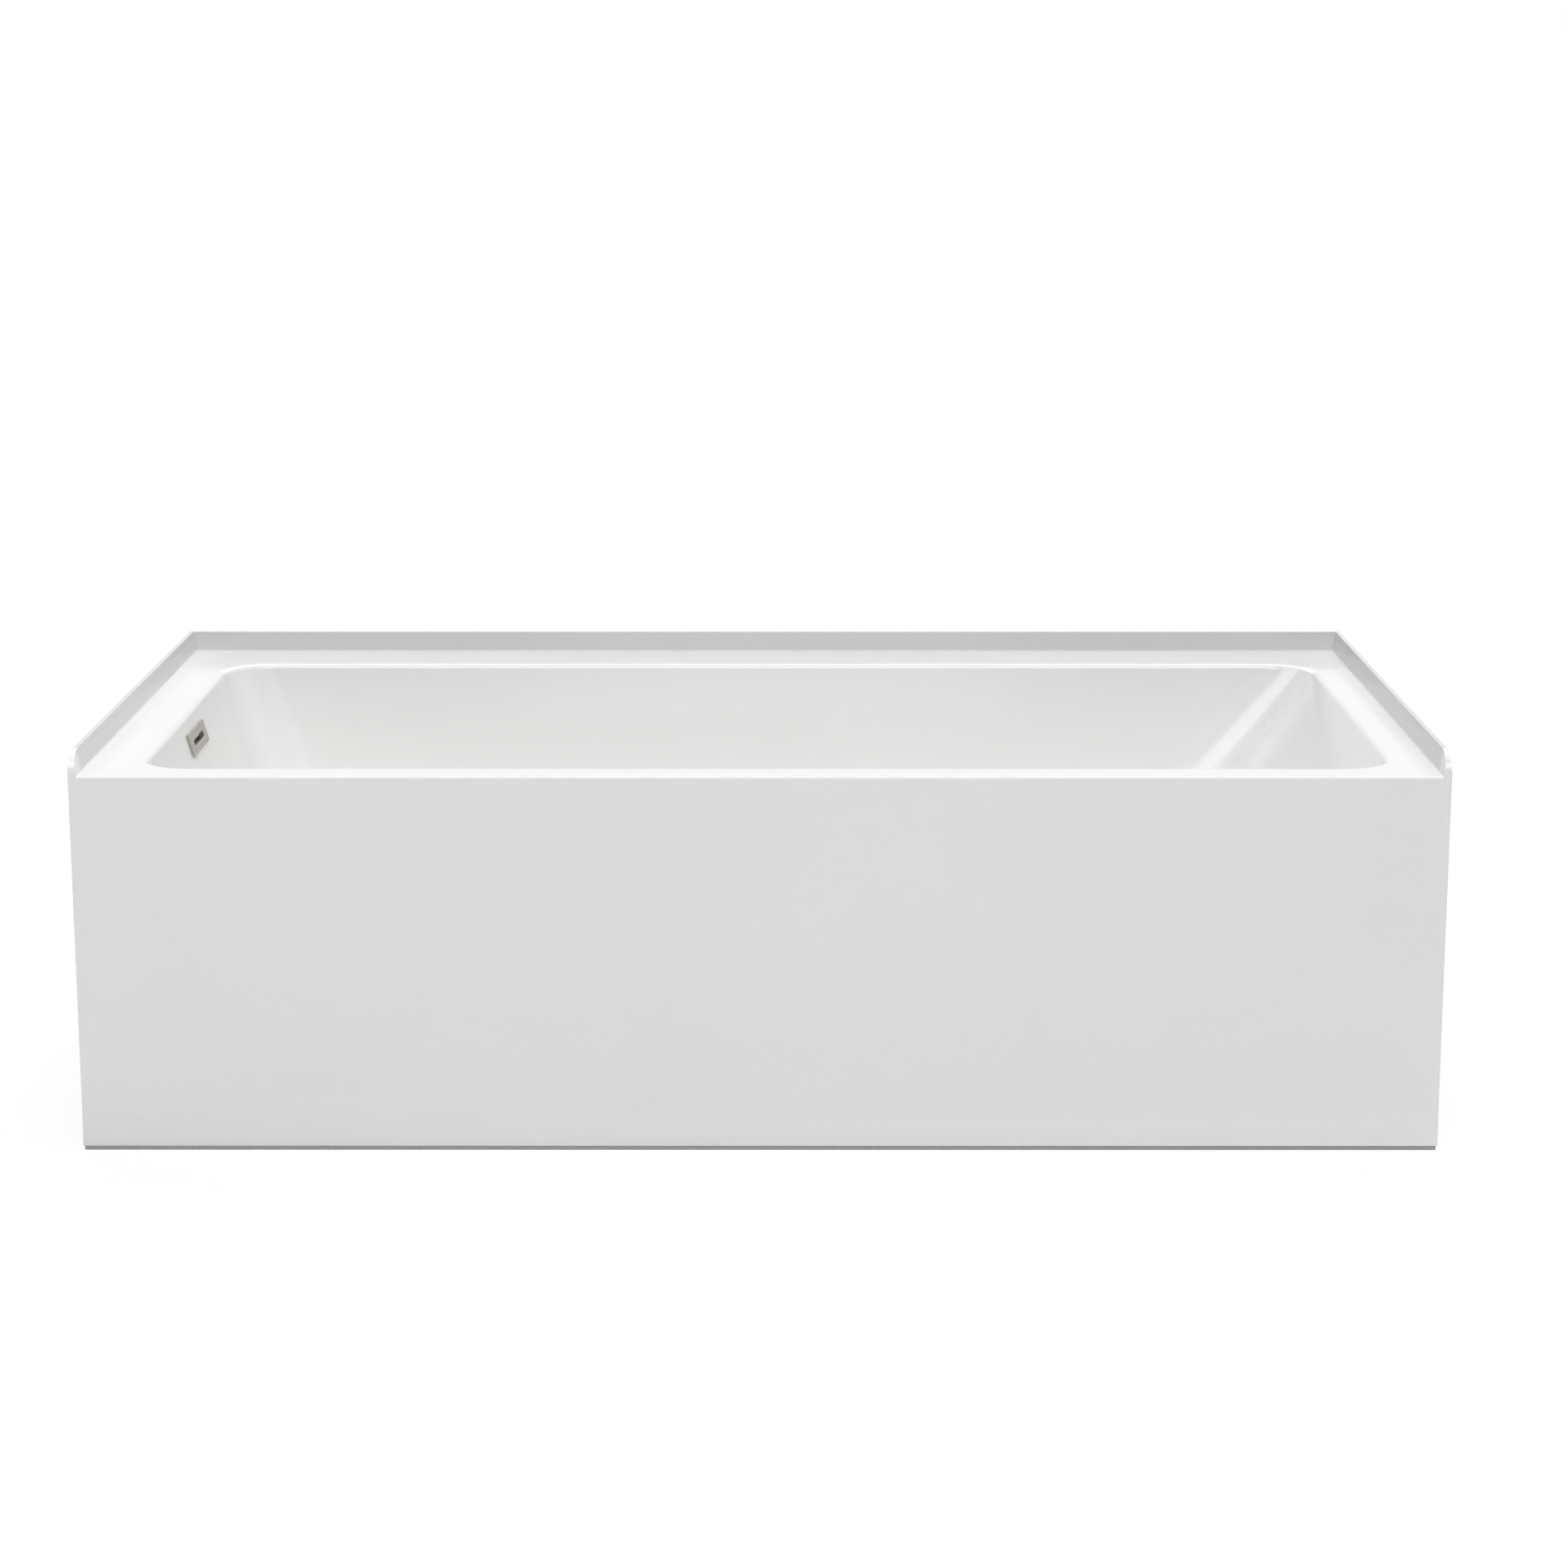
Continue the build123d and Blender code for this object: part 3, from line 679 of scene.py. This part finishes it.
def makePanHead(radius):
    # head only, standing on z = 0, with a crossed recess in its crown
    spec = panHead
    bpy.ops.mesh.primitive_cylinder_add(
        vertices=spec["sides"], radius=radius, depth=spec["height"], location=(0, 0, spec["height"] / 2)
    )
    head = bpy.context.object
    bakePlace()
    pickFaces(head, facingUp)
    bpy.ops.transform.translate(value=(0, 0, -spec["dome"]))
    for step in range(spec["domeSteps"]):
        bpy.ops.mesh.inset(thickness=radius * spec["insetStep"] * (step + 1))
        rise = spec["firstRise"] - spec["riseDrop"] * step
        bpy.ops.transform.translate(value=(0, 0, spec["dome"] * rise))
    bpy.ops.object.mode_set(mode="OBJECT")
    cutters = []
    top = max(vertex.co.z for vertex in head.data.vertices)
    for turn in (0, 90):
        bpy.ops.mesh.primitive_cube_add(size=1, location=(0, 0, top), rotation=(0, 0, math.radians(turn)))
        cutter = bpy.context.object
        cutter.scale = (spec["recessLength"], spec["recessWidth"], 2 * spec["recessDepth"])
        bakePlace()
        cut = head.modifiers.new("recess", "BOOLEAN")
        cut.operation = "DIFFERENCE"
        cut.solver = "EXACT"
        cut.object = cutter
        cutters.append(cutter)
    applyAll(head)
    onlySelect(*cutters)
    bpy.ops.object.delete()
    return head


def placeHeads(head, places, name, node):
    # copies of the head at each place, turned the way it faces, joined as one set
    heads = []
    for place, turn in places:
        twin = copyPiece(head)
        twin.location = place
        twin.rotation_euler = turn
        bakePlace()
        heads.append(twin)
    onlySelect(*heads)
    bpy.ops.object.join()
    settle(bpy.context.object, name, "tub", zinc, "zinc_steel", node)
    onlySelect(head)
    bpy.ops.object.delete()


lookingDown = (math.radians(180), 0, 0)
lookingBack = (math.radians(-90), 0, 0)
railMiddles = [middle(name).x for name in railNames]
low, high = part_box("rail_screws")
inset = panHead["railRadius"]
places = [((x, y, high.z), lookingDown) for x in railMiddles for y in (low.y + inset, high.y - inset)]
placeHeads(makePanHead(inset), places, "railScrewHeads", "rail_screws")
low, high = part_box("bracket_screws")
inset = panHead["bracketRadius"]
places = [((x, low.y, low.z + inset), lookingBack) for x in railMiddles]
places += [((x, high.y - inset, high.z), lookingDown) for x in railMiddles]
placeHeads(makePanHead(inset), places, "bracketScrewHeads", "bracket_screws")
print("screw heads made")


# stopper cap, dished on top
capShape = {
    "sides": 96,
    "edgeHeight": 0.0016,
    # inset and rise of each step of the crown, from its edge inwards
    "crown": (
        (0.0005, 0.0010),
        (0.0012, 0.0009),
        (0.0028, 0.0004),
        (0.0040, -0.0002),
        (0.0060, -0.0005),
        (0.0070, -0.0002),
    ),
    "collarRadius": 0.013,
    "collarHeight": 0.003,
}


def makeStopperCap():
    spec = capShape
    low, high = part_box("stopper_cap")
    radius = (high.x - low.x) / 2
    bpy.ops.mesh.primitive_circle_add(
        vertices=spec["sides"],
        radius=radius,
        fill_type="NGON",
        location=(drainCentre.x, drainCentre.y, low.z + spec["collarHeight"]),
    )
    cap = bpy.context.object
    bakePlace()
    editAll()
    bpy.ops.mesh.extrude_region_move(TRANSFORM_OT_translate={"value": (0, 0, spec["edgeHeight"])})
    for inset, rise in spec["crown"]:
        bpy.ops.mesh.inset(thickness=inset)
        bpy.ops.transform.translate(value=(0, 0, rise))
    bpy.ops.mesh.select_all(action="SELECT")
    bpy.ops.mesh.normals_make_consistent(inside=False)
    bpy.ops.object.mode_set(mode="OBJECT")
    # the collar under it
    pickFaces(cap, facingDown)
    bpy.ops.mesh.inset(thickness=radius - spec["collarRadius"])
    bpy.ops.mesh.extrude_region_move(TRANSFORM_OT_translate={"value": (0, 0, -spec["collarHeight"])})
    bpy.ops.object.mode_set(mode="OBJECT")
    settle(cap, "stopperCap", "stopper", finishes["brushed_nickel"], "brushed_nickel", "stopper_cap")


makeStopperCap()
print("stopper cap made")


# bar across the overflow slot
louvre = {
    "lean": 16.0,
    "length": 0.0646,
    "width": 0.0009,
    "depth": 0.0012,
    "ease": 0.0004,
    "setBack": 0.0025,
    "plateHeight": 0.028,
    "plateThickness": 0.002,
    "plateChamfer": 0.0008,
}


def makeLouvre():
    spec = louvre
    low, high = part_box("overflow_plate")
    lean = math.radians(spec["lean"])
    outward = Vector((math.cos(lean), 0, math.sin(lean)))
    # middle of the plate's back face, from the top corner of its box
    chamfer = spec["plateChamfer"]
    back = Vector((
        high.x
        - spec["plateThickness"] * math.cos(lean)
        - (spec["plateHeight"] / 2 - chamfer) * math.sin(lean),
        (low.y + high.y) / 2,
        high.z
        - spec["plateHeight"] / 2 * math.cos(lean)
        - (spec["plateThickness"] - chamfer) * math.sin(lean),
    ))
    place = back - outward * spec["setBack"]
    bpy.ops.mesh.primitive_cube_add(size=1, location=place, rotation=(0, -lean, 0))
    bar = bpy.context.object
    bar.scale = (spec["depth"], spec["length"], spec["width"])
    bpy.ops.object.transform_apply(location=False, rotation=False, scale=True)
    roundEdges(bar, spec["ease"], 3)
    settle(bar, "overflowLouvre", "tub", plateNickel, "brushed_nickel")


makeLouvre()
print("overflow louvre made")


studio = {
    "floorSize": 40.0,
    "floorColour": (0.92, 0.92, 0.92),
    "floorRoughness": 0.9,
    "topTone": (0.16, 0.16, 0.16),
    "topGlow": 0.86,
    "bounceDrop": 0.0005,
    "skyStrength": 1.0,
    "sunDistance": 5.0,
    # bearing from the front, height and softness in degrees, then strength
    "suns": {
        "frontSun": (0, 65, 40, 1.66),
        "backSun": (180, 50, 60, 1.40),
        "rightSun": (90, 40, 50, 0.27),
        "highRightSun": (90, 65, 40, 0.21),
    },
    # low in front, to lift the middle of the apron
    "frontSoft": {"place": (0, -2.6, 0.75), "aim": (0, -0.4, 0.3), "size": 1.0, "power": 2.0},
    # at the drain end, for a soft streak of gloss along the crease by the backrest
    "creaseSheen": {
        "place": (-2.15, -0.10, 1.80),
        "aim": (0.45, 0.25, 0.3),
        "size": 3.4,
        "power": 90.0,
    },
}


def makeFloorPlane(name, height, colour):
    bpy.ops.mesh.primitive_plane_add(size=studio["floorSize"], location=(0, 0, height))
    plane = bpy.context.object
    plane.name = name
    mat, _, shader, _ = startMaterial(name, colour, studio["floorRoughness"])
    plane.data.materials.append(mat)
    return plane, shader


def makeFloor():
    # the floor that shows is nearly white by itself, so that only a faint shadow falls on it
    top, shader = makeFloorPlane("studioFloor", 0, studio["topTone"])
    shader.inputs["Specular IOR Level"].default_value = 0.0
    shader.inputs["Emission Color"].default_value = (1, 1, 1, 1)
    shader.inputs["Emission Strength"].default_value = studio["topGlow"]
    top.visible_diffuse = False
    top.visible_shadow = False
    # a plain floor just under it gives the bounced light
    bounce, _ = makeFloorPlane("bounceFloor", -studio["bounceDrop"], studio["floorColour"])
    bounce.visible_camera = False
    bounce.visible_glossy = False


def pointAlong(lamp, direction):
    lamp.rotation_euler = direction.to_track_quat("-Z", "Y").to_euler()


def makeSun(name, bearing, height, softness, strength):
    bearing = math.radians(bearing)
    height = math.radians(height)
    towards = Vector((
        math.sin(bearing) * math.cos(height),
        -math.cos(bearing) * math.cos(height),
        math.sin(height),
    ))
    bpy.ops.object.light_add(type="SUN", location=towards * studio["sunDistance"])
    sun = bpy.context.object
    sun.name = name
    sun.data.energy = strength
    sun.data.angle = math.radians(softness)
    pointAlong(sun, -towards)


def makeDisc(name):
    # a round soft light that the camera does not see
    spec = studio[name]
    place = Vector(spec["place"])
    bpy.ops.object.light_add(type="AREA", location=place)
    disc = bpy.context.object
    disc.name = name
    disc.data.shape = "DISK"
    disc.data.size = spec["size"]
    disc.data.energy = spec["power"]
    disc.visible_camera = False
    pointAlong(disc, Vector(spec["aim"]) - place)
    return disc


def makeLights():
    # a white surround that shows to the eye and in gloss, and lights nothing by itself
    world = bpy.data.worlds.new("studioWorld")
    bpy.context.scene.world = world
    world.use_nodes = True
    sky = world.node_tree.nodes["Background"]
    sky.inputs["Color"].default_value = (1, 1, 1, 1)
    sky.inputs["Strength"].default_value = studio["skyStrength"]
    world.cycles_visibility.diffuse = False
    for name, settings in studio["suns"].items():
        makeSun(name, *settings)
    makeDisc("frontSoft")
    sheen = makeDisc("creaseSheen")
    sheen.visible_diffuse = False


viewer = {
    "place": (0.02998, -4.16487, 1.22593),
    "pitchDown": 12.0849,
    "turn": 0.0498,
    "lens": 80.18,
    "sensorWidth": 36.0,
    "farLimit": 100.0,
}


def makeCamera():
    bpy.ops.object.camera_add(location=viewer["place"])
    camera = bpy.context.object
    camera.rotation_euler = (math.radians(90 - viewer["pitchDown"]), 0, math.radians(viewer["turn"]))
    camera.data.lens = viewer["lens"]
    camera.data.sensor_width = viewer["sensorWidth"]
    camera.data.clip_end = viewer["farLimit"]
    bpy.context.scene.camera = camera


makeFloor()
makeLights()
makeCamera()
bpy.context.scene.view_settings.view_transform = "Standard"
print("studio ready")
